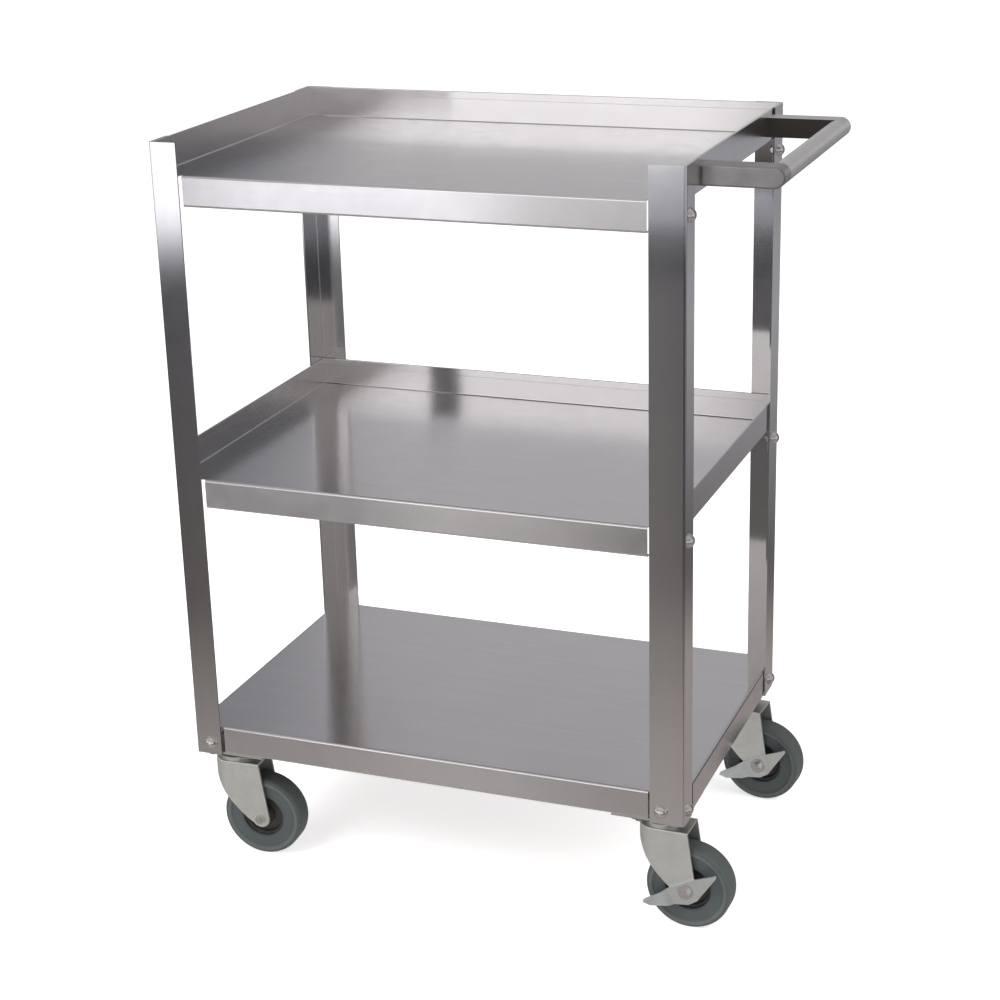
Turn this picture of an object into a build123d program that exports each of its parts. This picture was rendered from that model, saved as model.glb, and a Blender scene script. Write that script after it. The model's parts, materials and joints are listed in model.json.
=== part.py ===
"""Food service trolley: three stainless shelves bolted into four angle legs, with a push
handle at one end and four swivel casters, two of them with side lever brakes.

Frame: +Z up with the floor at z = 0, +X towards the push handle, -Y the open front of the
upper shelves.  The origin is under the centre of the whole trolley.  Millimetres.
"""

import os

from build123d import *

# ---------------------------------------------------------------- driving dimensions
frame_length = 610.0  # X, over the outer faces of the legs
frame_depth = 400.0  # Y, over the outer faces of the legs
leg_bottom = 138.0
leg_length = 738.0
leg_top = leg_bottom + leg_length

leg_sheet = 2.0
leg_bend = 3.0  # outer radius of the angle
leg_narrow = 33.0
leg_wide = 40.0
leg_wide_turned = 31.0  # side flange of the leg whose wide flange faces the front

shelf_sheet = 1.2
bend_inside = 1.3
bend_outside = bend_inside + shelf_sheet
top_floor = leg_top - 36.0
middle_floor = leg_top - 387.0
bottom_floor = leg_top - 700.0
rim_height = {"top_shelf": 36.0, "middle_shelf": 34.0}
hem_depth = 9.0
hem_thickness = 2 * shelf_sheet
hem_round = 0.45 * hem_thickness
hem_edge_radius = 0.5
skirt_height = 34.5
skirt_lip = 7.5
skirt_inset = 0.4  # the skirts stand this far behind the legs' outer faces
skirt_gap = 5.0  # open gap between a leg's flange and the end of a skirt
skirt_gap_turned = 2.0
skirt_gap_handle_end = 11.0

bracket_sheet = 2.0
bracket_length = 30.0
bracket_reach = 26.0
gusset_thickness = 3.0
gusset_side = 86.0
gusset_clip = 30.0
gusset_gap = 0.5  # clear of the legs' inner faces

screw_radius = 3.0
screw_hole_radius = 3.2
screw_head_radius = 6.8
screw_head_height = 4.8
washer_radius = 8.0
washer_thickness = 1.2
nut_across_flats = 10.0
nut_height = 5.0
thread_beyond_nut = 1.8
screw_in = 16.0  # from the leg's corner
screw_in_wide = 27.0  # the same on the wide front flange
screw_in_left = 20.0  # the same on the left leg's front flange
screw_below_floor = 16.5
bottom_screw_z = leg_bottom + 15.0

handle_reach = 89.0  # past the legs
handle_tube = 22.0
handle_drop = 6.6  # top of the handle below the leg tops
handle_wall = 1.5
arm_width = 26.0
arm_inset = 45.0  # from the front and back faces of the legs
arm_edge_radius = 2.0

wheel_radius = 50.0
tyre_width = 30.0
swivel_in = 35.0  # swivel axis from both outer faces of a leg
trail = 34.0  # axle behind the swivel axis
swivel_rest_turn = {  # degrees about the kingpin from trailing straight towards the handle
    "front_left": 3.0,
    "front_right": -2.0,
    "back_left": 2.0,
    "back_right": -5.0,
}
plate_side = 60.0
plate_thickness = 2.5
plate_bolt_spacing = 42.0
plate_top = leg_bottom + 0.5
fork_top = 123.0
fork_sheet = 2.5
fork_half_width = 19.5
fork_rear = 35.0  # rear end of the fork's head, past the swivel axis
axle_radius = 3.0
running_gap = 0.05  # radial clearance of a turning fit
seat_gap = 0.02  # radial clearance of a fixed fit
side_gap = 0.3  # end clearance between pieces that turn on each other

# ---------------------------------------------------------------- worked out places
screw_stands_proud = screw_head_height + washer_thickness
overall_length = screw_stands_proud + frame_length + handle_reach
x_left = screw_stands_proud - overall_length / 2
x_right = x_left + frame_length
y_front = -frame_depth / 2
y_back = frame_depth / 2

inner_left = x_left + leg_sheet
inner_right = x_right - leg_sheet
inner_front = y_front + leg_sheet
inner_back = y_back - leg_sheet

plate_bottom = plate_top - plate_thickness
gusset_top = plate_top + gusset_thickness
fork_underside = fork_top - fork_sheet
fork_inner = fork_half_width - fork_sheet

# name: (x, y, inward x, inward y, flange along x, flange along y, end screw from the corner)
corners = {
    "front_left": (x_left, y_front, 1, 1, leg_narrow, leg_wide, screw_in_left),
    "front_right": (x_right, y_front, -1, 1, leg_wide, leg_wide_turned, screw_in_wide),
    "back_left": (x_left, y_back, 1, -1, leg_narrow, leg_wide, screw_in),
    "back_right": (x_right, y_back, -1, -1, leg_narrow, leg_wide, screw_in),
}
side_screw_heights = (
    top_floor - screw_below_floor,
    middle_floor - screw_below_floor,
    bottom_screw_z,
)

os.makedirs("parts", exist_ok=True)


def save(part, name):
    """Label a finished piece and write it."""
    part.label = name
    export_step(part, f"parts/{name}.step")


def rounded_face(plane, points, rounds):
    """Face inside a closed polyline, with the corners at the given points rounded."""
    with BuildSketch(plane) as face:
        with BuildLine():
            Polyline(*points, close=True)
        make_face()
        for corner, radius in rounds:
            fillet(face.vertices().sort_by_distance(corner)[0], radius)
    return face.sketch


# ---------------------------------------------------------------- legs
def make_leg(x, y, into_x, into_y, flange_x, flange_y, end_screw_in):
    """Angle leg with a hole for every screw."""
    inner = (x + into_x * leg_sheet, y + into_y * leg_sheet)
    section = rounded_face(
        Plane.XY.offset(leg_bottom),
        [
            (x, y),
            (x + into_x * flange_x, y),
            (x + into_x * flange_x, inner[1]),
            inner,
            (inner[0], y + into_y * flange_y),
            (x, y + into_y * flange_y),
        ],
        [((x, y), leg_bend), (inner, leg_bend - leg_sheet)],
    )
    with BuildPart() as leg:
        extrude(section, amount=leg_length)
        with BuildSketch(Plane.YZ.offset(x)):
            with Locations(*[(y + into_y * screw_in, height) for height in side_screw_heights]):
                Circle(screw_hole_radius)
        extrude(amount=leg_sheet + 1, both=True, mode=Mode.SUBTRACT)
        with BuildSketch(Plane.XZ.offset(-y)):
            with Locations((x + into_x * end_screw_in, bottom_screw_z)):
                Circle(screw_hole_radius)
        extrude(amount=leg_sheet + 1, both=True, mode=Mode.SUBTRACT)
    return leg.part


for corner_name, corner in corners.items():
    save(make_leg(*corner), f"leg_{corner_name}")


# ---------------------------------------------------------------- shelves
def rim_section(plane, outer, inward, floor_z, height):
    """Edge turned up, with its top folded over inwards."""
    top = floor_z + height
    inside = outer + inward * shelf_sheet
    hem = outer + inward * hem_thickness
    stub = outer + inward * (bend_outside + 1)
    underside = floor_z - shelf_sheet
    return rounded_face(
        plane,
        [
            (outer, underside),
            (outer, top),
            (hem, top),
            (hem, top - hem_depth),
            (inside, top - hem_depth),
            (inside, floor_z),
            (stub, floor_z),
            (stub, underside),
        ],
        [
            ((outer, underside), bend_outside),
            ((inside, floor_z), bend_inside),
            ((outer, top), hem_round),
            ((hem, top), hem_round),
            ((hem, top - hem_depth), hem_edge_radius),
        ],
    )


def skirt_section(plane, outer, inward, floor_z):
    """Edge turned down, with a narrow lip turned in under the shelf."""
    inside = outer + inward * shelf_sheet
    lip = outer + inward * skirt_lip
    stub = outer + inward * (bend_outside + 1)
    underside = floor_z - shelf_sheet
    low = floor_z - skirt_height
    return rounded_face(
        plane,
        [
            (outer, floor_z),
            (outer, low),
            (lip, low),
            (lip, low + shelf_sheet),
            (inside, low + shelf_sheet),
            (inside, underside),
            (stub, underside),
            (stub, floor_z),
        ],
        [
            ((outer, floor_z), bend_outside),
            ((outer, low), bend_outside),
            ((inside, low + shelf_sheet), bend_inside),
            ((inside, underside), bend_inside),
        ],
    )


front_skirt_left = x_left + leg_narrow + skirt_gap
front_skirt_right = x_right - leg_wide - skirt_gap_turned
skirt_front = y_front + skirt_inset
skirt_back = y_back - skirt_inset
skirt_left = x_left + skirt_inset
skirt_right = x_right - skirt_inset
corner_relief = 1.5  # keeps the shelf out of the radius inside a leg
floor_edge = bend_outside + 0.5


def make_tray(name, floor_z):
    """Shelf with its front edge turned down and the other three edges turned up."""
    rim = rim_height[name]
    rim_start = inner_front + corner_relief
    left_rim = rim_section(Plane.XZ.offset(-inner_back), inner_left, 1, floor_z, rim)
    right_rim = rim_section(Plane.XZ.offset(-inner_back), inner_right, -1, floor_z, rim)
    back_rim = rim_section(Plane.YZ.offset(inner_left), inner_back, -1, floor_z, rim)
    front_skirt = skirt_section(Plane.YZ.offset(front_skirt_left), skirt_front, 1, floor_z)
    with BuildPart() as tray:
        with BuildSketch(Plane.XY.offset(floor_z - shelf_sheet)):
            with BuildLine():
                Polyline(
                    (inner_left + floor_edge, rim_start),
                    (front_skirt_left, rim_start),
                    (front_skirt_left, skirt_front + floor_edge),
                    (front_skirt_right, skirt_front + floor_edge),
                    (front_skirt_right, rim_start),
                    (inner_right - floor_edge, rim_start),
                    (inner_right - floor_edge, inner_back - floor_edge),
                    (inner_left + floor_edge, inner_back - floor_edge),
                    close=True,
                )
            make_face()
        extrude(amount=shelf_sheet)
        extrude(left_rim, amount=inner_back - rim_start)
        extrude(right_rim, amount=inner_back - rim_start)
        extrude(back_rim, amount=inner_right - inner_left)
        extrude(front_skirt, amount=front_skirt_right - front_skirt_left)
        # the two outer corners at the back stay clear of the radius inside the legs
        with BuildSketch(Plane.XY.offset(floor_z - 2 * shelf_sheet)):
            for x, into_x in ((inner_left, 1), (inner_right, -1)):
                with BuildLine():
                    Polyline(
                        (x, inner_back),
                        (x + into_x * corner_relief, inner_back),
                        (x, inner_back - corner_relief),
                        close=True,
                    )
                make_face()
        extrude(amount=rim + 3 * shelf_sheet, mode=Mode.SUBTRACT)
    return tray.part


def make_bottom_shelf():
    """Lowest shelf: a flat top with all four edges turned down between the legs."""
    side_start = y_front + leg_wide + skirt_gap
    side_end = y_back - leg_wide - skirt_gap
    handle_side_start = y_front + leg_wide_turned + skirt_gap
    handle_side_end = y_back - leg_wide - skirt_gap_handle_end
    back_right_end = x_right - leg_narrow - skirt_gap
    front = skirt_section(Plane.YZ.offset(front_skirt_left), skirt_front, 1, bottom_floor)
    back = skirt_section(Plane.YZ.offset(front_skirt_left), skirt_back, -1, bottom_floor)
    left = skirt_section(Plane.XZ.offset(-side_end), skirt_left, 1, bottom_floor)
    right = skirt_section(Plane.XZ.offset(-handle_side_end), skirt_right, -1, bottom_floor)
    with BuildPart() as shelf:
        with BuildSketch(Plane.XY.offset(bottom_floor - shelf_sheet)) as top:
            with BuildLine():
                Polyline(
                    (inner_left, inner_front),
                    (inner_right, inner_front),
                    (inner_right, inner_back),
                    (inner_left, inner_back),
                    close=True,
                )
            make_face()
            chamfer(top.vertices(), corner_relief)
        extrude(amount=shelf_sheet)
        # the top gives way along its edges to the bends of the skirts
        with BuildSketch(Plane.XY.offset(bottom_floor - 2 * shelf_sheet)):
            with Locations(((front_skirt_left + front_skirt_right) / 2, inner_front)):
                Rectangle(front_skirt_right - front_skirt_left, 2 * floor_edge)
            with Locations(((front_skirt_left + back_right_end) / 2, inner_back)):
                Rectangle(back_right_end - front_skirt_left, 2 * floor_edge)
            with Locations((inner_left, (side_start + side_end) / 2)):
                Rectangle(2 * floor_edge, side_end - side_start)
            with Locations((inner_right, (handle_side_start + handle_side_end) / 2)):
                Rectangle(2 * floor_edge, handle_side_end - handle_side_start)
        extrude(amount=3 * shelf_sheet, mode=Mode.SUBTRACT)
        extrude(front, amount=front_skirt_right - front_skirt_left)
        extrude(back, amount=back_right_end - front_skirt_left)
        extrude(left, amount=side_end - side_start)
        extrude(right, amount=handle_side_end - handle_side_start)
        with BuildSketch(Plane.XY.offset(bottom_floor - shelf_sheet)):
            with Locations(((inner_left + inner_right) / 2, 0)):
                Rectangle(
                    inner_right - inner_left - 2 * floor_edge + 2,
                    inner_back - inner_front - 2 * floor_edge + 2,
                )
        extrude(amount=shelf_sheet)
    return shelf.part


save(make_tray("top_shelf", top_floor), "top_shelf")
save(make_tray("middle_shelf", middle_floor), "middle_shelf")
save(make_bottom_shelf(), "bottom_shelf")


# ---------------------------------------------------------------- brackets and gussets
def make_tray_brackets(floor_z):
    """Four angles welded under a tray, each holding the screw through a leg's side."""
    top = floor_z - shelf_sheet
    with BuildPart() as brackets:
        for x, y, into_x, into_y, *_ in corners.values():
            face = x + into_x * leg_sheet
            start = y + into_y * (leg_sheet + corner_relief)
            section = rounded_face(
                Plane.XZ.offset(-start),
                [
                    (face, top),
                    (face + into_x * bracket_reach, top),
                    (face + into_x * bracket_reach, top - bracket_sheet),
                    (face + into_x * bracket_sheet, top - bracket_sheet),
                    (face + into_x * bracket_sheet, top - bracket_length),
                    (face, top - bracket_length),
                ],
                [((face, top), leg_bend)],
            )
            extrude(section, amount=-into_y * bracket_length)
            with BuildSketch(Plane.YZ.offset(face)):
                with Locations((y + into_y * screw_in, floor_z - screw_below_floor)):
                    Circle(screw_hole_radius)
            extrude(amount=bracket_sheet + 1, both=True, mode=Mode.SUBTRACT)
    return brackets.part


def make_corner_brackets():
    """Four upright angles in the corners of the bottom shelf, bolted to both leg flanges."""
    height = bottom_floor - shelf_sheet - gusset_top
    with BuildPart() as brackets:
        for x, y, into_x, into_y, _, _, end_screw_in in corners.values():
            outer = (x + into_x * leg_sheet, y + into_y * leg_sheet)
            inner = (outer[0] + into_x * bracket_sheet, outer[1] + into_y * bracket_sheet)
            end_reach = end_screw_in + bracket_sheet + nut_across_flats
            section = rounded_face(
                Plane.XY.offset(gusset_top),
                [
                    outer,
                    (x + into_x * end_reach, outer[1]),
                    (x + into_x * end_reach, inner[1]),
                    inner,
                    (inner[0], y + into_y * bracket_length),
                    (outer[0], y + into_y * bracket_length),
                ],
                [(outer, leg_bend), (inner, leg_bend - bracket_sheet)],
            )
            extrude(section, amount=height)
            with BuildSketch(Plane.YZ.offset(outer[0])):
                with Locations((y + into_y * screw_in, bottom_screw_z)):
                    Circle(screw_hole_radius)
            extrude(amount=bracket_sheet + 1, both=True, mode=Mode.SUBTRACT)
            with BuildSketch(Plane.XZ.offset(-outer[1])):
                with Locations((x + into_x * end_screw_in, bottom_screw_z)):
                    Circle(screw_hole_radius)
            extrude(amount=bracket_sheet + 1, both=True, mode=Mode.SUBTRACT)
    return brackets.part


def make_gussets():
    """Four plates across the corners, under the skirts' lips, that carry the casters."""
    with BuildPart() as gussets:
        for x, y, into_x, into_y, *_ in corners.values():
            near_x = x + into_x * (leg_sheet + gusset_gap)
            near_y = y + into_y * (leg_sheet + gusset_gap)
            far_x = x + into_x * gusset_side
            far_y = y + into_y * gusset_side
            with BuildSketch(Plane.XY.offset(plate_top)):
                with BuildLine():
                    Polyline(
                        (near_x + into_x, near_y),
                        (far_x, near_y),
                        (far_x, far_y - into_y * gusset_clip),
                        (far_x - into_x * gusset_clip, far_y),
                        (near_x, far_y),
                        (near_x, near_y + into_y),
                        close=True,
                    )
                make_face()
                swivel = (x + into_x * swivel_in, y + into_y * swivel_in)
                with Locations(swivel):
                    with GridLocations(plate_bolt_spacing, plate_bolt_spacing, 2, 2):
                        Circle(screw_hole_radius, mode=Mode.SUBTRACT)
            extrude(amount=gusset_thickness)
    return gussets.part


save(make_tray_brackets(top_floor), "top_shelf_brackets")
save(make_tray_brackets(middle_floor), "middle_shelf_brackets")
save(make_corner_brackets(), "bottom_shelf_brackets")
save(make_gussets(), "caster_gussets")


# ---------------------------------------------------------------- screws through the legs
def leg_screw_planes():
    """One plane for each screw, on the leg's outer face with its normal pointing out."""
    planes = []
    for x, y, into_x, into_y, _, _, end_screw_in in corners.values():
        for height in side_screw_heights:
            spot = (x, y + into_y * screw_in, height)
            planes.append(Plane(origin=spot, x_dir=(0, 0, 1), z_dir=(-into_x, 0, 0)))
        spot = (x + into_x * end_screw_in, y, bottom_screw_z)
        planes.append(Plane(origin=spot, x_dir=(0, 0, 1), z_dir=(0, -into_y, 0)))
    return planes


nut_seat = leg_sheet + bracket_sheet
screw_length = nut_seat + nut_height + thread_beyond_nut

# one screw, its domed head up and the face of the leg at z = 0
head_side = 1.2  # straight side of the head, below its dome
dome_height = screw_head_height - head_side
dome_radius = (screw_head_radius**2 + dome_height**2) / (2 * dome_height)
head_top = washer_thickness + screw_head_height
from_face_up = (Align.CENTER, Align.CENTER, Align.MIN)
from_face_down = (Align.CENTER, Align.CENTER, Align.MAX)
with BuildPart() as one_screw:
    with Locations((0, 0, washer_thickness)):
        Cylinder(screw_head_radius, screw_head_height, align=from_face_up)
    with Locations((0, 0, head_top - dome_radius)):
        Sphere(dome_radius, mode=Mode.INTERSECT)
    with Locations((0, 0, washer_thickness)):
        Cylinder(screw_radius, washer_thickness + screw_length, align=from_face_down)

with BuildPart() as leg_screws:
    with Locations(*leg_screw_planes()):
        add(one_screw.part)
save(leg_screws.part, "leg_screws")

with BuildPart() as leg_washers:
    for plane in leg_screw_planes():
        with BuildSketch(plane):
            Circle(washer_radius)
            Circle(screw_radius + seat_gap, mode=Mode.SUBTRACT)
        extrude(amount=washer_thickness)
save(leg_washers.part, "leg_screw_washers")

with BuildPart() as leg_nuts:
    for plane in leg_screw_planes():
        with BuildSketch(plane.offset(-nut_seat)):
            RegularPolygon(nut_across_flats / 2, 6, major_radius=False)
            Circle(screw_radius + seat_gap, mode=Mode.SUBTRACT)
        extrude(amount=-nut_height)
save(leg_nuts.part, "leg_screw_nuts")


# ---------------------------------------------------------------- push handle
handle_radius = handle_tube / 2
handle_z = leg_top - handle_drop - handle_radius
bar_x = x_right + handle_reach - handle_radius
arm_start = inner_right
arm_ends = {
    "front": (y_front + arm_inset + arm_width, -1),
    "back": (y_back - arm_inset, 1),
}


def make_handle_arm(back_face, outward):
    """Flat-sided hollow arm whose far end is rounded about the bar's axis."""
    with BuildPart() as arm:
        with BuildSketch(Plane.XZ.offset(-back_face)):
            with Locations(((arm_start + bar_x) / 2, handle_z)):
                Rectangle(bar_x - arm_start, handle_tube)
            with Locations((bar_x, handle_z)):
                Circle(handle_radius)
        extrude(amount=arm_width)
        outer_face = arm.faces().filter_by(Axis.Y).sort_by(Axis.Y)[0 if outward < 0 else -1]
        free_edges = [edge for edge in outer_face.edges() if edge.center().X > arm_start + 1]
        fillet(free_edges, arm_edge_radius)
        with BuildSketch(Plane.XZ.offset(handle_wall - back_face)):
            with Locations(((arm_start + bar_x) / 2, handle_z)):
                Rectangle(bar_x - arm_start, handle_tube - 2 * handle_wall)
            with Locations((bar_x, handle_z)):
                Circle(handle_radius - handle_wall)
        extrude(amount=arm_width - 2 * handle_wall, mode=Mode.SUBTRACT)
    return arm.part


for side, (back_face, outward) in arm_ends.items():
    save(make_handle_arm(back_face, outward), f"handle_arm_{side}")

bar_length = frame_depth - 2 * (arm_inset + arm_width)
with BuildPart() as handle_bar:
    with BuildSketch(Plane.XZ.offset(-bar_length / 2)):
        with Locations((bar_x, handle_z)):
            Circle(handle_radius)
            Circle(handle_radius - handle_wall, mode=Mode.SUBTRACT)
    extrude(amount=bar_length)
save(handle_bar.part, "handle_bar")

# ---------------------------------------------------------------- casters
plate_corner = 5.0
race_outer = 23.0
race_lip = 1.5
race_inner = 12.0
upper_race_face = fork_top + 10.6
upper_race_low = fork_top + 7.0
lower_race_radius = 20.0
lower_race_top = fork_top + 5.4
ball_radius = 2.4
ball_circle = 16.0
ball_count = 14
ball_z = (upper_race_face + lower_race_top) / 2
kingpin_radius = 6.0
kingpin_head_radius = 9.5
kingpin_head_height = 4.0
kingpin_head_edge = 1.5
race_edge_radius = 0.6
race_chamfer = 1.0
race_slope = -8  # degrees: the lower race widens upwards

fork_end_radius = 11.5
fork_low = 30.0
fork_edge_radius = 2.0
fork_front_low = 113.0  # height at which the fork's front edge starts to run back
fork_front_ahead = 7.0  # centre of the round front, ahead of the swivel axis
fork_knee = (-11.0, 79.5)  # from the swivel axis, and height: where the front edge hollows
fork_toe = (-9.2, -6.9)  # front and rear ends of the round below the axle, from the axle
fork_round = (2.0, -11.3)
fork_heel = (11.3, 2.3)

hub_half_width = 16.2
hub_radius = 11.0
recess_radius = 23.5
web_half = 4.5
core_half_width = 9.0
core_radius = 26.0
recess_slope = 1.5
recess_edge_radius = 1.5
hub_edge_radius = 1.0
bush_outer = 5.5
tyre_edge_radius = 5.5
tyre_side_step = 2.0
tyre_step_radius = 43.0
tyre_step_slope = 2.5
tyre_bore_radius = 1.8  # rounding round the tyre's opening
tyre_step_bend = 1.5

axle_head_height = 4.0
axle_nut_height = 5.0
axle_across_flats = 10.0
lever_sheet = 2.5
spring_washer_thickness = 1.0
spring_washer_radius = 9.0


def make_caster_plate(x, y):
    """Top plate with the upper ball race pressed out of it."""
    with BuildPart() as plate:
        with BuildSketch(Plane.XY.offset(plate_bottom)):
            with Locations((x, y)):
                RectangleRounded(plate_side, plate_side, plate_corner)
                Circle(kingpin_radius + seat_gap, mode=Mode.SUBTRACT)
                with GridLocations(plate_bolt_spacing, plate_bolt_spacing, 2, 2):
                    Circle(screw_hole_radius, mode=Mode.SUBTRACT)
        extrude(amount=plate_thickness)
        with BuildSketch(Plane.XY.offset(plate_bottom)):
            with Locations((x, y)):
                Circle(race_outer)
                Circle(race_inner, mode=Mode.SUBTRACT)
        extrude(amount=upper_race_face - plate_bottom)
        with BuildSketch(Plane.XY.offset(upper_race_face)):
            with Locations((x, y)):
                Circle(race_outer)
                Circle(race_outer - race_lip, mode=Mode.SUBTRACT)
        extrude(amount=upper_race_low - upper_race_face)
        fillet(plate.edges().group_by(Axis.Z)[0].sort_by(SortBy.LENGTH)[-1], race_edge_radius)
    return plate.part


def make_kingpin(x, y):
    """Rivet that holds the fork under the plate and lets it turn."""
    head_top = fork_underside - side_gap
    with BuildPart() as kingpin:
        with BuildSketch(Plane.XY.offset(head_top)):
            with Locations((x, y)):
                Circle(kingpin_radius)
        extrude(amount=plate_top - head_top)
        with BuildSketch(Plane.XY.offset(head_top - kingpin_head_height)):
            with Locations((x, y)):
                Circle(kingpin_head_radius)
        extrude(amount=kingpin_head_height)
        fillet(kingpin.edges().group_by(Axis.Z)[0], kingpin_head_edge)
    return kingpin.part


def make_balls(x, y):
    """Ring of balls between the two races."""
    with BuildPart() as balls:
        with Locations((x, y, ball_z)):
            with PolarLocations(ball_circle, ball_count):
                Sphere(ball_radius)
    return balls.part


def make_fork(x, y):
    """Pressed fork: a round-fronted head, the lower race, and two legs down to the axle."""
    axle = (x + trail, wheel_radius)
    rear = x + fork_rear
    head_end = x + fork_rear + fork_end_radius
    front_x = x - fork_front_ahead
    front_edge = front_x - fork_half_width - 1
    with BuildPart() as fork:
        # head and side walls, rounded about the swivel axis at the front
        with BuildSketch(Plane.XY.offset(fork_low)):
            with Locations((front_x, y)):
                Circle(fork_half_width)
            with Locations(((front_x + head_end) / 2, y)):
                Rectangle(head_end - front_x, 2 * fork_half_width)
        extrude(amount=fork_top - fork_low)
        fillet(fork.faces().sort_by(Axis.Z)[-1].edges().sort_by(Axis.X)[:-1], fork_edge_radius)
        with BuildSketch(Plane.XY.offset(fork_low)):
            with Locations((front_x, y)):
                Circle(fork_inner)
            with Locations(((front_x + head_end) / 2 + 1, y)):
                Rectangle(head_end - front_x + 2, 2 * fork_inner)
        extrude(amount=fork_underside - fork_low, mode=Mode.SUBTRACT)
        # side view of the fork: the legs taper down to a round end about the axle
        with BuildSketch(Plane.XZ.offset(-(y + fork_half_width + 1))):
            with BuildLine():
                front_high = (front_edge, fork_top + 1)
                front_low = (front_edge, fork_front_low)
                knee = (x + fork_knee[0], fork_knee[1])
                toe = (axle[0] + fork_toe[0], axle[1] + fork_toe[1])
                lowest = (axle[0] + fork_round[0], axle[1] + fork_round[1])
                heel = (axle[0] + fork_heel[0], axle[1] + fork_heel[1])
                ThreePointArc(front_low, knee, toe)
                ThreePointArc(toe, lowest, heel)
                Polyline(heel, (rear, fork_underside), (rear, fork_top + 1), front_high, front_low)
            make_face()
        extrude(amount=2 * fork_half_width + 2, mode=Mode.INTERSECT)
        # lower race
        with BuildSketch(Plane.XY.offset(fork_top)):
            with Locations((x, y)):
                Circle(lower_race_radius - race_chamfer)
        extrude(amount=lower_race_top - fork_top, taper=race_slope)
        with BuildSketch(Plane.XY.offset(fork_underside)):
            with Locations((x, y)):
                Circle(kingpin_radius + running_gap)
        extrude(amount=lower_race_top - fork_underside, mode=Mode.SUBTRACT)
        with BuildSketch(Plane.XZ.offset(-y)):
            with Locations(axle):
                Circle(axle_radius + seat_gap)
        extrude(amount=fork_half_width + 1, both=True, mode=Mode.SUBTRACT)
    return fork.part


def axle_plane(x, y, across):
    """Plane through the axle's line at a distance across it, facing the front."""
    return Plane(
        origin=(x + trail, y + across, wheel_radius), x_dir=(1, 0, 0), z_dir=(0, -1, 0)
    )


def make_axle_bolt(x, y, braked):
    """Hexagon bolt through the fork, its head at the back."""
    stack = lever_sheet + 2 * side_gap + spring_washer_thickness if braked else 0
    nut_end = fork_half_width + stack + axle_nut_height
    with BuildPart() as bolt:
        with BuildSketch(axle_plane(x, y, fork_half_width)):
            Circle(axle_radius)
        extrude(amount=fork_half_width + nut_end + thread_beyond_nut)
        with BuildSketch(axle_plane(x, y, fork_half_width)):
            RegularPolygon(axle_across_flats / 2, 6, major_radius=False)
        extrude(amount=-axle_head_height)
    return bolt.part


def make_axle_nut(x, y, braked):
    """Nut at the front end of the axle, outside the brake lever where there is one."""
    stack = lever_sheet + 2 * side_gap + spring_washer_thickness if braked else 0
    with BuildPart() as nut:
        with BuildSketch(axle_plane(x, y, -fork_half_width - stack)):
            RegularPolygon(axle_across_flats / 2, 6, major_radius=False)
            Circle(axle_radius + seat_gap, mode=Mode.SUBTRACT)
        extrude(amount=axle_nut_height)
    return nut.part


def ring_of_revolution(x, y, points, rounds):
    """Solid turned about the axle from a section of (across, radius) points."""
    section = rounded_face(
        Plane(origin=(x + trail, y, wheel_radius), x_dir=(0, 1, 0), z_dir=(1, 0, 0)),
        points,
        rounds,
    )
    with BuildPart() as ring:
        revolve(section, axis=Axis((x + trail, y, wheel_radius), (0, 1, 0)))
    return ring.part


def make_tyre(x, y):
    """Solid rubber tread with a raised band on each side wall."""
    half = tyre_width / 2
    inner = core_radius + seat_gap
    side = half - tyre_side_step
    points = [
        (-side, inner),
        (-side, tyre_step_radius - tyre_step_slope),
        (-half, tyre_step_radius),
        (-half, wheel_radius),
        (half, wheel_radius),
        (half, tyre_step_radius),
        (side, tyre_step_radius - tyre_step_slope),
        (side, inner),
    ]
    rounds = []
    for across in (-1, 1):
        rounds.append(((across * half, wheel_radius), tyre_edge_radius))
        rounds.append(((across * side, inner), tyre_bore_radius))
        rounds.append(((across * half, tyre_step_radius), tyre_step_bend))
    return ring_of_revolution(x, y, points, rounds)


def make_wheel_core(x, y):
    """Moulded wheel centre with a deep recess round the hub on both sides."""
    bore = bush_outer + seat_gap
    points = [
        (-hub_half_width, bore),
        (-hub_half_width, hub_radius),
        (-web_half, hub_radius + recess_slope),
        (-web_half, recess_radius - recess_slope),
        (-core_half_width, recess_radius),
        (-core_half_width, core_radius),
        (core_half_width, core_radius),
        (core_half_width, recess_radius),
        (web_half, recess_radius - recess_slope),
        (web_half, hub_radius + recess_slope),
        (hub_half_width, hub_radius),
        (hub_half_width, bore),
    ]
    rounds = [
        ((-core_half_width, recess_radius), recess_edge_radius),
        ((core_half_width, recess_radius), recess_edge_radius),
        ((-hub_half_width, hub_radius), hub_edge_radius),
        ((hub_half_width, hub_radius), hub_edge_radius),
    ]
    return ring_of_revolution(x, y, points, rounds)


def make_bush(x, y):
    """Plain bearing sleeve pressed into the hub."""
    points = [
        (-hub_half_width, axle_radius + running_gap),
        (-hub_half_width, bush_outer),
        (hub_half_width, bush_outer),
        (hub_half_width, axle_radius + running_gap),
    ]
    return ring_of_revolution(x, y, points, [])


lever_tilt = 28.0  # the released lever's rear wing stands this many degrees above level
lever_left = -52.0
lever_right = 48.0
lever_outline = [  # along the lever and across it, from the axle
    (lever_left, 6.5),
    (lever_left + 3, 9.0),
    (-14.0, 11.0),
    (14.0, 11.0),
    (lever_right - 2.5, 10.0),
    (lever_right, 7.5),
    (8.0, -14.5),
    (-4.0, -15.5),
    (lever_left + 7, -0.5),
]
lever_wing_rise = 7.0  # how far the wings' tips are bent out from the fork
lever_bends = [  # along the lever, and out from the fork: a joggle on the left, a crease right
    (lever_left, lever_wing_rise),
    (-25.5, 5.0),
    (-19.5, 0.0),
    (15.0, 0.0),
    (lever_right, lever_wing_rise),
]
lever_eye_radius = 10.0
lever_corner_radius = 1.2
lever_half_height = 25.0  # more than the outline's reach from the axle


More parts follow.
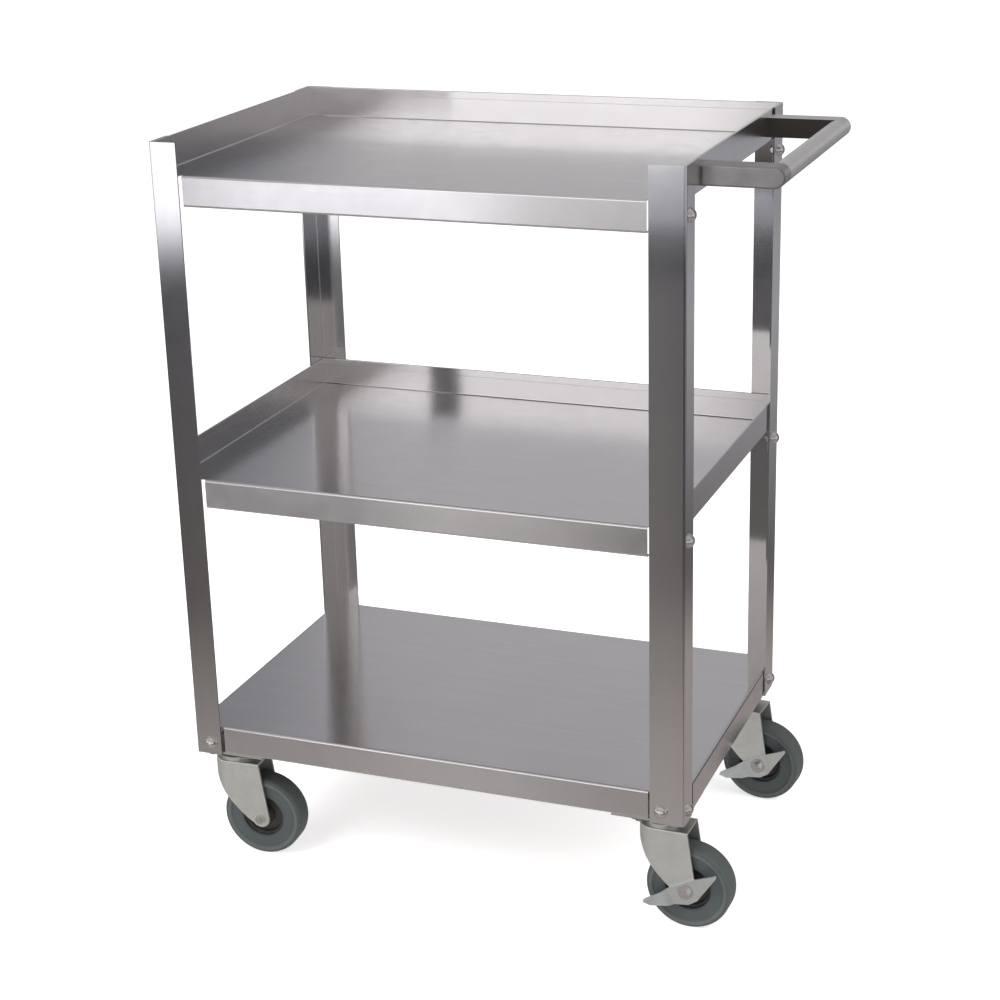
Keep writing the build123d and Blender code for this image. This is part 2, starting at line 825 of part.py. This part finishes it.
def make_brake_lever(x, y):
    """Foot lever on the axle: a flat centre between two wings bent outwards."""
    inner_face = fork_half_width + side_gap
    tilted = Plane(
        origin=(x + trail, y - inner_face, wheel_radius),
        x_dir=Vector(1, 0, 0).rotate(Axis.Y, -lever_tilt),
        z_dir=(0, -1, 0),
    )
    edge_on = Plane(origin=tilted.origin, x_dir=tilted.x_dir, z_dir=-tilted.y_dir)
    outer_bends = [(along, out + lever_sheet) for along, out in reversed(lever_bends)]
    with BuildPart() as lever:
        # thickness, seen along the sheet
        with BuildSketch(edge_on.offset(-lever_half_height)):
            with BuildLine():
                Polyline(*lever_bends, *outer_bends, close=True)
            make_face()
        extrude(amount=2 * lever_half_height)
        # outline, seen from the front
        with BuildSketch(tilted.offset(-1)) as outline:
            with BuildLine():
                Polyline(*lever_outline, close=True)
            make_face()
            fillet(outline.vertices(), lever_corner_radius)
            Circle(lever_eye_radius)
            Circle(axle_radius + running_gap, mode=Mode.SUBTRACT)
        extrude(amount=lever_sheet + lever_wing_rise + 2, mode=Mode.INTERSECT)
    return lever.part


def make_spring_washer(x, y):
    """Washer that presses the lever against the fork."""
    near = fork_half_width + side_gap + lever_sheet + side_gap
    with BuildPart() as washer:
        with BuildSketch(axle_plane(x, y, -near)):
            Circle(spring_washer_radius)
            Circle(axle_radius + seat_gap, mode=Mode.SUBTRACT)
        extrude(amount=spring_washer_thickness)
    return washer.part


braked_casters = ("front_right", "back_right")
swivels = {
    name: (x + into_x * swivel_in, y + into_y * swivel_in)
    for name, (x, y, into_x, into_y, *_) in corners.items()
}


def save_turned(part, piece, name):
    """Turn a swivelling piece about its kingpin to where it stands at rest, and write it."""
    kingpin_line = Axis((*swivels[name], 0), (0, 0, 1))
    save(part.rotate(kingpin_line, swivel_rest_turn[name]), f"{piece}_{name}")


for name, (swivel_x, swivel_y) in swivels.items():
    braked = name in braked_casters
    save(make_caster_plate(swivel_x, swivel_y), f"caster_plate_{name}")
    save(make_kingpin(swivel_x, swivel_y), f"kingpin_{name}")
    save(make_balls(swivel_x, swivel_y), f"race_balls_{name}")
    save_turned(make_fork(swivel_x, swivel_y), "fork", name)
    save_turned(make_axle_bolt(swivel_x, swivel_y, braked), "axle_bolt", name)
    save_turned(make_axle_nut(swivel_x, swivel_y, braked), "axle_nut", name)
    save_turned(make_tyre(swivel_x, swivel_y), "tyre", name)
    save_turned(make_wheel_core(swivel_x, swivel_y), "wheel_core", name)
    save_turned(make_bush(swivel_x, swivel_y), "wheel_bush", name)
    if braked:
        save_turned(make_brake_lever(swivel_x, swivel_y), "brake_lever", name)
        save_turned(make_spring_washer(swivel_x, swivel_y), "brake_washer", name)

# ---------------------------------------------------------------- caster plate fasteners
plate_bolt_height = 4.0
plate_bolt_top = gusset_top + nut_height + thread_beyond_nut

with BuildPart() as plate_bolts:
    for swivel in swivels.values():
        with BuildSketch(Plane.XY.offset(plate_bottom - plate_bolt_height)):
            with Locations(swivel):
                with GridLocations(plate_bolt_spacing, plate_bolt_spacing, 2, 2):
                    RegularPolygon(nut_across_flats / 2, 6, major_radius=False)
        extrude(amount=plate_bolt_height)
        with BuildSketch(Plane.XY.offset(plate_bottom)):
            with Locations(swivel):
                with GridLocations(plate_bolt_spacing, plate_bolt_spacing, 2, 2):
                    Circle(screw_radius)
        extrude(amount=plate_bolt_top - plate_bottom)
save(plate_bolts.part, "caster_plate_bolts")

with BuildPart() as plate_nuts:
    for swivel in swivels.values():
        with BuildSketch(Plane.XY.offset(gusset_top)):
            with Locations(swivel):
                with GridLocations(plate_bolt_spacing, plate_bolt_spacing, 2, 2):
                    RegularPolygon(nut_across_flats / 2, 6, major_radius=False)
                    Circle(screw_radius + seat_gap, mode=Mode.SUBTRACT)
        extrude(amount=nut_height)
save(plate_nuts.part, "caster_plate_nuts")
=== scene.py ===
"""Food service trolley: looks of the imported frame, in metres.  +Z up, +X towards the handle,
-Y the open front of the upper shelves."""

import json
import math

import bpy
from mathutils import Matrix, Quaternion, Vector

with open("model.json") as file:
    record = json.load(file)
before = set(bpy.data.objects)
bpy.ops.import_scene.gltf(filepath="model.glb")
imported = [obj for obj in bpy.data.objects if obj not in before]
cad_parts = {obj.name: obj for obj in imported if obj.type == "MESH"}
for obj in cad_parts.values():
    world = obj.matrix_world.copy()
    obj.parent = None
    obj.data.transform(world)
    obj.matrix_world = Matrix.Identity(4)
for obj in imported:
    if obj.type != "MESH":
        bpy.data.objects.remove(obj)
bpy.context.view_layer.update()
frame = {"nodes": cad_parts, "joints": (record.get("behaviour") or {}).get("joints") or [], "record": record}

NODES = frame["nodes"]
CORNERS = ("front_left", "front_right", "back_left", "back_right")

# ---------------------------------------------------------------- studio values
# elevation in degrees and brightness of the studio, on the camera's side and opposite
FRONT_BANDS = [
    (-90, (0.50, 0.46, 0.43)),
    (-29, (0.42, 0.39, 0.37)),
    (-26.0, (0.34, 0.31, 0.29)),
    (-23.5, (0.20, 0.185, 0.175)),
    (-22, (0.10, 0.092, 0.088)),
    (-13.3, (0.080, 0.078, 0.087)),
    (-12.8, (0.28, 0.28, 0.31)),
    (-12.3, (0.90, 0.89, 0.93)),
    (-11.6, (1.05, 1.03, 1.08)),
    (0, (1.10, 1.08, 1.12)),
    (4, (0.60, 0.58, 0.58)),
    (18, (0.52, 0.49, 0.48)),
    (30, (0.52, 0.48, 0.46)),
    (60, (0.6, 0.6, 0.62)),
    (90, (0.9, 0.9, 0.9)),
]
BACK_BANDS = [
    (-90, (0.40, 0.36, 0.34)),
    (-24, (0.36, 0.32, 0.31)),
    (-21.5, (0.12, 0.11, 0.11)),
    (-19, (0.22, 0.215, 0.22)),
    (-15, (0.40, 0.39, 0.41)),
    (-11, (0.34, 0.34, 0.36)),
    (-5, (0.40, 0.40, 0.42)),
    (2, (0.75, 0.74, 0.75)),
    (10, (0.66, 0.64, 0.63)),
    (10.8, (0.44, 0.43, 0.45)),
    (12.5, (0.24, 0.235, 0.25)),
    (17, (0.66, 0.65, 0.66)),
    (21, (0.52, 0.51, 0.53)),
    (26, (0.42, 0.41, 0.43)),
    (60, (0.5, 0.5, 0.5)),
    (90, (0.9, 0.9, 0.9)),
]
# cards in the studio: span of azimuth, span of elevation, soft edge of each, and brightness.
# Azimuth is 0 at -Y and grows towards +X.  A later card covers an earlier one.
CARDS = [
    ((-29.3, -21.2), (-12.0, -6.5), 2.0, 0.8, (2.5, 2.5, 2.6)),
    ((-24.5, -18.8), (-34, -13.0), 1.5, 0.7, (0.43, 0.41, 0.40)),
    ((-20.5, 36), (-10.3, -4), 1.5, 0.4, (1.5, 1.48, 1.5)),
    ((-20.5, 36), (-12.3, -10.6), 1.5, 0.2, (0.26, 0.26, 0.29)),
    ((-20.5, 36), (-13.8, -12.4), 1.5, 0.1, (0.05, 0.05, 0.056)),
    ((46, 68), (-30, 16), 4.0, 8.0, (0.05, 0.05, 0.055)),
    ((-25.6, -14.2), (3.0, 19), 1.5, 2.0, (1.95, 1.92, 1.92)),
    ((118, 157), (-21, 30), 3.0, 3.0, (0.12, 0.12, 0.13)),
    ((-153, -120), (4, 45), 2.5, 4.0, (0.26, 0.26, 0.28)),
]
SIDES_BLEND = 0.15  # how far from the middle plane the front bands run into the back bands
BACKDROP_STRENGTH = 1.05

FLOOR_REACH = 30.0
FLOOR_GREY = (0.93, 0.93, 0.93, 1)
FLOOR_GLOW = 0.62

CAMERA_PLACE = Vector((0.850, -2.216, 1.2787))
CAMERA_TARGET = Vector((-0.0262, 0.0055, 0.4234))
CAMERA_ROLL = -1.58  # degrees
SENSOR_WIDTH = 36.0  # mm
FOCAL_LENGTH = 76.3848  # mm

LIGHTS_TARGET = Vector((0, 0, 0.5))

# ---------------------------------------------------------------- material values
AXES = {"x": (1.0, 0.0, 0.0), "y": (0.0, 1.0, 0.0), "z": (0.0, 0.0, 1.0)}
FRONTWARD = (0.0, -1.0, 0.0)
FACES_ALONG = 0.7  # cosine above which a face counts as facing a direction
STRETCH = 0.004  # scratches are drawn out by its inverse along the grain
# scales of the noises: scratches, bands and marks on brushed metal, plating and its pits,
# dust and moulded grain on rubber and plastic
HAIR_SCALE = 2600.0
BAND_SCALE = 84.0
MARK_SCALE = 45.0
PLATING_SCALE = 60.0
PIT_SCALE = 1500.0
DUST_SCALE = 27.0
MOULD_GRAIN_SCALE = 1260.0

SHEET = (0.72, 0.71, 0.715)
LEG_SHEET = (0.72, 0.715, 0.72)
HANDLE_TUBE = (0.66, 0.655, 0.64)
TYRE_GREY = (0.066, 0.078, 0.078)
TYRE_ROUGHNESS = 0.55
LEG_ROUGHNESS = 0.115
HANDLE_ROUGHNESS = 0.34

# lowest and highest height, soft edge and tone of a painted shade on metal that faces the front, standing
# for a dark reflection on that metal
FAR_ARM_SHADE = (0.5, 0.9, 0.01, (0.07, 0.065, 0.06))
LEG_TOP_SHADE = (0.795, 0.90, 0.03, (0.10, 0.09, 0.085))

# a tyre's tones by distance from its axle: dark opening, side wall, paler ridge, dusty tread
TYRE_RINGS = [
    (0.024, (0.80, 0.76, 0.76)),
    (0.030, (0.95, 0.95, 0.95)),
    (0.0405, (1.0, 1.0, 1.0)),
    (0.0425, (1.45, 1.42, 1.40)),
    (0.0450, (1.35, 1.33, 1.30)),
    (0.0465, (0.9, 0.9, 0.9)),
    (0.0502, (1.15, 1.13, 1.10)),
]


# ---------------------------------------------------------------- node helpers
class Shader:
    """A node tree with short ways to add and link nodes."""

    def __init__(self, tree):
        self.tree = tree
        self.tree.nodes.clear()

    def put(self, kind, **settings):
        node = self.tree.nodes.new(kind)
        for key, value in settings.items():
            setattr(node, key, value)
        return node

    def link(self, source, target):
        self.tree.links.new(source, target)

    def give(self, socket, value):
        """Link the socket to another one, or set it to a constant."""
        if isinstance(value, bpy.types.NodeSocket):
            self.link(value, socket)
        else:
            socket.default_value = value

    def object_place(self):
        return self.put("ShaderNodeTexCoord").outputs["Object"]

    def split(self, vector):
        """The three coordinates of a vector."""
        node = self.put("ShaderNodeSeparateXYZ")
        self.link(vector, node.inputs[0])
        return node.outputs

    def math(self, operation, *values):
        node = self.put("ShaderNodeMath", operation=operation)
        for socket, value in zip(node.inputs, values):
            self.give(socket, value)
        return node.outputs[0]

    def vector(self, operation, *values):
        node = self.put("ShaderNodeVectorMath", operation=operation)
        for socket, value in zip(node.inputs, values):
            self.give(socket, value)
        is_number = operation in ("DOT_PRODUCT", "LENGTH")
        return node.outputs["Value" if is_number else "Vector"]

    def rise(self, value, start, end, interpolation="LINEAR"):
        """0 at start and 1 at end, and level beyond them."""
        node = self.put("ShaderNodeMapRange", interpolation_type=interpolation)
        self.give(node.inputs["Value"], value)
        node.inputs["From Min"].default_value = start
        node.inputs["From Max"].default_value = end
        return node.outputs["Result"]

    def ramp(self, value, stops):
        """Colours between stops, each given as (place from 0 to 1, colour)."""
        node = self.put("ShaderNodeValToRGB")
        elements = node.color_ramp.elements
        while len(elements) < len(stops):
            elements.new(0.5)
        for element, (place, colour) in zip(elements, stops):
            element.position = place
            element.color = (*colour, 1)
        self.give(node.inputs["Fac"], value)
        return node.outputs["Color"]

    def mix(self, share, first, second, blend="MIX"):
        node = self.put("ShaderNodeMix", data_type="RGBA", blend_type=blend)
        self.give(node.inputs["Factor"], share)
        self.give(node.inputs["A"], first)
        self.give(node.inputs["B"], second)
        return node.outputs["Result"]

    def noise(self, vector, scale, detail=2.0, roughness=0.5):
        node = self.put("ShaderNodeTexNoise")
        self.give(node.inputs["Vector"], vector)
        node.inputs["Scale"].default_value = scale
        node.inputs["Detail"].default_value = detail
        node.inputs["Roughness"].default_value = roughness
        return node.outputs["Fac"]

    def bump(self, height, strength, distance):
        node = self.put("ShaderNodeBump")
        node.inputs["Strength"].default_value = strength
        node.inputs["Distance"].default_value = distance
        self.link(height, node.inputs["Height"])
        return node.outputs["Normal"]

    def surface(self, constants, links):
        """Principled surface, with constants and links given by socket name."""
        body = self.put("ShaderNodeBsdfPrincipled")
        for socket, value in constants.items():
            body.inputs[socket].default_value = value
        for socket, source in links.items():
            self.link(source, body.inputs[socket])
        out = self.put("ShaderNodeOutputMaterial")
        self.link(body.outputs[0], out.inputs["Surface"])


def new_material(name):
    material = bpy.data.materials.new(name)
    material.use_nodes = True
    return material, Shader(material.node_tree)


def put_in_scene(name, data):
    thing = bpy.data.objects.new(name, data)
    bpy.context.scene.collection.objects.link(thing)
    return thing


def turn_towards(thing, place, target):
    """Put a camera or a light at a place, facing a target."""
    thing.location = place
    thing.rotation_mode = "QUATERNION"
    thing.rotation_quaternion = (target - place).to_track_quat("-Z", "Y")


# ---------------------------------------------------------------- studio
def build_world():
    """Soft studio round the object: what the metal mirrors, and a white backdrop."""
    world = bpy.data.worlds.new("studio")
    bpy.context.scene.world = world
    world.use_nodes = True
    s = Shader(world.node_tree)
    x, y, z = s.split(s.put("ShaderNodeTexCoord").outputs["Generated"])
    to_degrees = 180 / math.pi
    elevation = s.math("MULTIPLY", s.math("ARCSINE", z), to_degrees)
    azimuth = s.math("MULTIPLY", s.math("ARCTAN2", x, s.math("MULTIPLY", y, -1.0)), to_degrees)

    def inside(angle, span, soft):
        """1 where the angle is inside the span, with soft ends."""
        low, high = span
        above = s.rise(angle, low - soft, low + soft, "SMOOTHSTEP")
        below = s.rise(angle, high + soft, high - soft, "SMOOTHSTEP")
        return s.math("MULTIPLY", above, below)

    up_share = s.math("MULTIPLY_ADD", elevation, 1 / 180, 0.5)

    def bands(rows):
        """Brightness by elevation, which the ramp takes from 0 to 1."""
        return s.ramp(up_share, [(0.5 + degrees / 180, colour) for degrees, colour in rows])

    backward = s.rise(y, -SIDES_BLEND, SIDES_BLEND, "SMOOTHSTEP")
    surround = s.mix(backward, bands(FRONT_BANDS), bands(BACK_BANDS))
    for across, upright, soft_across, soft_upright, colour in CARDS:
        in_azimuth = inside(azimuth, across, soft_across)
        in_elevation = inside(elevation, upright, soft_upright)
        surround = s.mix(s.math("MULTIPLY", in_azimuth, in_elevation), surround, (*colour, 1))

    sky = s.put("ShaderNodeBackground")
    s.link(surround, sky.inputs["Color"])
    white = s.put("ShaderNodeBackground")
    white.inputs["Color"].default_value = (1, 1, 1, 1)
    white.inputs["Strength"].default_value = BACKDROP_STRENGTH
    choose = s.put("ShaderNodeMixShader")
    s.link(s.put("ShaderNodeLightPath").outputs["Is Camera Ray"], choose.inputs["Fac"])
    s.link(sky.outputs[0], choose.inputs[1])
    s.link(white.outputs[0], choose.inputs[2])
    out = s.put("ShaderNodeOutputWorld")
    s.link(choose.outputs[0], out.inputs["Surface"])


def build_floor():
    reach = FLOOR_REACH
    corners = [(-reach, -reach, 0), (reach, -reach, 0), (reach, reach, 0), (-reach, reach, 0)]
    mesh = bpy.data.meshes.new("floor")
    mesh.from_pydata(corners, [], [(0, 1, 2, 3)])
    floor = put_in_scene("floor", mesh)
    material, s = new_material("floor_paint")
    s.surface(
        {
            "Base Color": FLOOR_GREY,
            "Roughness": 0.9,
            "Specular IOR Level": 0.0,
            "Emission Color": (1, 1, 1, 1),
            "Emission Strength": FLOOR_GLOW,
        },
        {},
    )
    mesh.materials.append(material)
    floor.visible_glossy = False


def build_camera():
    data = bpy.data.cameras.new("camera")
    data.sensor_width = SENSOR_WIDTH
    data.lens = FOCAL_LENGTH
    data.clip_start, data.clip_end = 0.05, 100.0
    camera = put_in_scene("camera", data)
    turn_towards(camera, CAMERA_PLACE, CAMERA_TARGET)
    roll = Quaternion((0, 0, 1), math.radians(CAMERA_ROLL))
    camera.rotation_quaternion = camera.rotation_quaternion @ roll
    bpy.context.scene.camera = camera


def build_light(name, place, size, power):
    """Rectangular lamp that the metal doesn't mirror."""
    data = bpy.data.lights.new(name, "AREA")
    data.shape = "RECTANGLE"
    data.size, data.size_y = size
    data.energy = power
    light = put_in_scene(name, data)
    turn_towards(light, Vector(place), LIGHTS_TARGET)
    light.visible_glossy = False


# ---------------------------------------------------------------- materials
def painted_shade_mask(s, place, normal, low, high, soft):
    """Mask of a painted shade: 1 on metal that faces the front, between two heights, with soft ends."""
    height = s.split(place)["Z"]
    above = s.rise(height, low - soft, low)
    below = s.rise(height, high + soft, high)
    forward = s.math("GREATER_THAN", s.vector("DOT_PRODUCT", normal, FRONTWARD), FACES_ALONG)
    return s.math("MULTIPLY", s.math("MULTIPLY", above, below), forward)


def brushed(
    name, tint, roughness, grain, anisotropy=0.75, wear_and_shade=0.10, cloud_scale=9.0, shade=None
):
    """Brushed metal: grain is "x", "y" or "z", along which the fine scratches run.

    Faces that the grain would run into are brushed across instead.  wear_and_shade and
    cloud_scale say how cloudy the finish is: worn metal, and painted shade as well on the near
    handle arm.  shade is a painted shade, given as a row such as FAR_ARM_SHADE."""
    material, s = new_material(name)
    place = s.object_place()
    normal = s.put("ShaderNodeNewGeometry").outputs["Normal"]
    across = "y" if grain == "x" else "x"
    facing = s.vector("DOT_PRODUCT", normal, AXES[grain])
    end_on = s.math("GREATER_THAN", s.math("ABSOLUTE", facing), FACES_ALONG)
    direction = s.mix(end_on, (*AXES[grain], 1), (*AXES[across], 1))
    tangent = s.vector("CROSS_PRODUCT", normal, direction)

    def drawn_out(axis):
        scale = tuple(STRETCH if letter == axis else 1 for letter in "xyz")
        return s.vector("MULTIPLY", place, scale)

    line = s.mix(end_on, drawn_out(grain), drawn_out(across))
    hair = s.noise(line, HAIR_SCALE, 3.0, 0.6)
    bands = s.noise(line, BAND_SCALE, 2.0)
    cloud = s.noise(place, cloud_scale, 3.0)
    marks = s.noise(place, MARK_SCALE, 4.0, 0.6)
    tone = s.math("MULTIPLY_ADD", hair, 0.10, 0.95)
    tone = s.math("MULTIPLY", tone, s.math("MULTIPLY_ADD", bands, 0.08, 0.96))
    tone = s.math("MULTIPLY", tone, s.math("MULTIPLY_ADD", cloud, wear_and_shade, 1 - wear_and_shade / 2))
    colour = s.mix(1.0, (*tint, 1), tone, "MULTIPLY")
    # painted shade: a dark tone mixed into the colour on front-facing metal between two heights
    if shade:
        low, high, soft, dark = shade
        colour = s.mix(painted_shade_mask(s, place, normal, low, high, soft), colour, (*dark, 1))
    s.surface(
        {"Metallic": 1.0, "Anisotropic": anisotropy},
        {
            "Base Color": colour,
            "Roughness": s.math("MULTIPLY_ADD", marks, 0.4 * roughness, 0.8 * roughness),
            "Normal": s.bump(hair, strength=0.25, distance=0.00002),
            "Tangent": tangent,
        },
    )
    return material


def plain_metal(name, tint, roughness, mottle=0.12):
    """Zinc plated or turned steel: cloudy plating over fine pitting."""
    material, s = new_material(name)
    place = s.object_place()
    cloud = s.noise(place, PLATING_SCALE, 4.0, 0.6)
    pits = s.noise(place, PIT_SCALE, 2.0)
    tone = s.math("MULTIPLY_ADD", cloud, 2 * mottle, 1 - mottle)
    s.surface(
        {"Metallic": 1.0},
        {
            "Base Color": s.mix(1.0, (*tint, 1), tone, "MULTIPLY"),
            "Roughness": s.math("MULTIPLY_ADD", cloud, 0.2, roughness - 0.1),
            "Normal": s.bump(pits, strength=0.2, distance=0.00004),
        },
    )
    return material


def ring_tones(s, place, axle, rings):
    """Colour by distance from an axle, which is a point and a direction."""
    point, direction = axle
    arm = s.vector("CROSS_PRODUCT", s.vector("SUBTRACT", place, point), direction)
    rim = rings[-1][0]
    share = s.math("DIVIDE", s.vector("LENGTH", arm), rim)
    return s.ramp(share, [(radius / rim, tone) for radius, tone in rings])


def moulded(name, tint, roughness, axle=None, rings=()):
    """Rubber or plastic with a fine moulded grain and a little dust."""
    material, s = new_material(name)
    place = s.object_place()
    cloud = s.noise(place, DUST_SCALE, 4.0, 0.6)
    grain = s.noise(place, MOULD_GRAIN_SCALE, 2.0)
    dust = s.math("MULTIPLY_ADD", cloud, 0.30, 0.85)
    colour = s.mix(1.0, (*tint, 1), dust, "MULTIPLY")
    if axle:
        colour = s.mix(1.0, colour, ring_tones(s, place, axle, rings), "MULTIPLY")
    s.surface(
        {"Specular IOR Level": 0.35},
        {
            "Base Color": colour,
            "Roughness": s.math("MULTIPLY_ADD", grain, 0.2, roughness - 0.1),
            "Normal": s.bump(grain, strength=0.3, distance=0.00006),
        },
    )
    return material


def dress(node_name, material):
    """Give a node another finish than its slot's."""
    NODES[node_name].data.materials[0] = material


LOOKS = {
    "shelf_steel": brushed("shelf_steel", SHEET, 0.14, "x", 1.0),
    "leg_steel": brushed("leg_steel", LEG_SHEET, LEG_ROUGHNESS, "z", 1.0),
    "bracket_steel": brushed("bracket_steel", (0.55, 0.54, 0.53), 0.42, "x"),
    "handle_steel": brushed("handle_steel", HANDLE_TUBE, HANDLE_ROUGHNESS, "y"),
    "zinc_steel": plain_metal("zinc_steel", (0.84, 0.86, 0.82), 0.46),
    "lever_steel": plain_metal("lever_steel", (0.84, 0.90, 0.90), 0.34),
    "fastener_steel": plain_metal("fastener_steel", (0.70, 0.69, 0.67), 0.24, 0.05),
    "ball_steel": plain_metal("ball_steel", (0.7, 0.7, 0.7), 0.12, 0.03),
    "tyre_rubber": moulded("tyre_rubber", TYRE_GREY, TYRE_ROUGHNESS),
    "wheel_plastic": moulded("wheel_plastic", (0.045, 0.040, 0.038), 0.5),
    "bush_plastic": moulded("bush_plastic", (0.6, 0.58, 0.54), 0.45),
}
for row in frame["record"]["subparts"]:
    node = NODES[row["node"]]
    node.data.materials.clear()
    node.data.materials.append(LOOKS[row["material_slot"]])

# caster plates: a dark steel that is a painted shade, standing for the shade under the shelf
painted_shade_plate_steel = plain_metal("painted_shade_plate_steel", (0.16, 0.15, 0.145), 0.55)
for corner in CORNERS:
    dress(f"caster_plate_{corner}", painted_shade_plate_steel)

# near handle arm: a tint far darker than the handle tube's, and heavy clouding; they stand partly for heat
# marks and partly for painted shade
near_arm_shade_and_heat_marks_steel = brushed("near_arm_shade_and_heat_marks_steel", (0.32, 0.315, 0.315), 0.30, "x", wear_and_shade=0.9, cloud_scale=30.0)
dress("handle_arm_front", near_arm_shade_and_heat_marks_steel)

# far handle arm: the handle's finish with a painted shade over its front-facing metal
far_arm_painted_shade_steel = brushed("far_arm_painted_shade_steel", HANDLE_TUBE, HANDLE_ROUGHNESS, "x", shade=FAR_ARM_SHADE)
dress("handle_arm_back", far_arm_painted_shade_steel)

# back right leg: the leg's finish with a painted shade on its front-facing metal near the top
leg_painted_shade_steel = brushed(
    "leg_painted_shade_steel", LEG_SHEET, LEG_ROUGHNESS, "z", 1.0, shade=LEG_TOP_SHADE
)
dress("leg_back_right", leg_painted_shade_steel)

AXLES = {joint["name"]: (joint["pos_m"], joint["axis"]) for joint in frame["joints"]}
for corner in CORNERS:
    axle = AXLES[f"wheel_roll_{corner}"]
    rubber = moulded(f"tyre_rubber_{corner}", TYRE_GREY, TYRE_ROUGHNESS, axle, TYRE_RINGS)
    dress(f"tyre_{corner}", rubber)

build_world()
build_floor()
build_camera()
build_light("key", (-1.6, -2.4, 3.2), (2.5, 2.0), 90)
build_light("fill", (2.6, -0.6, 2.2), (2.0, 2.0), 45)

view = bpy.context.scene.view_settings
view.view_transform = "Standard"
view.look = "None"
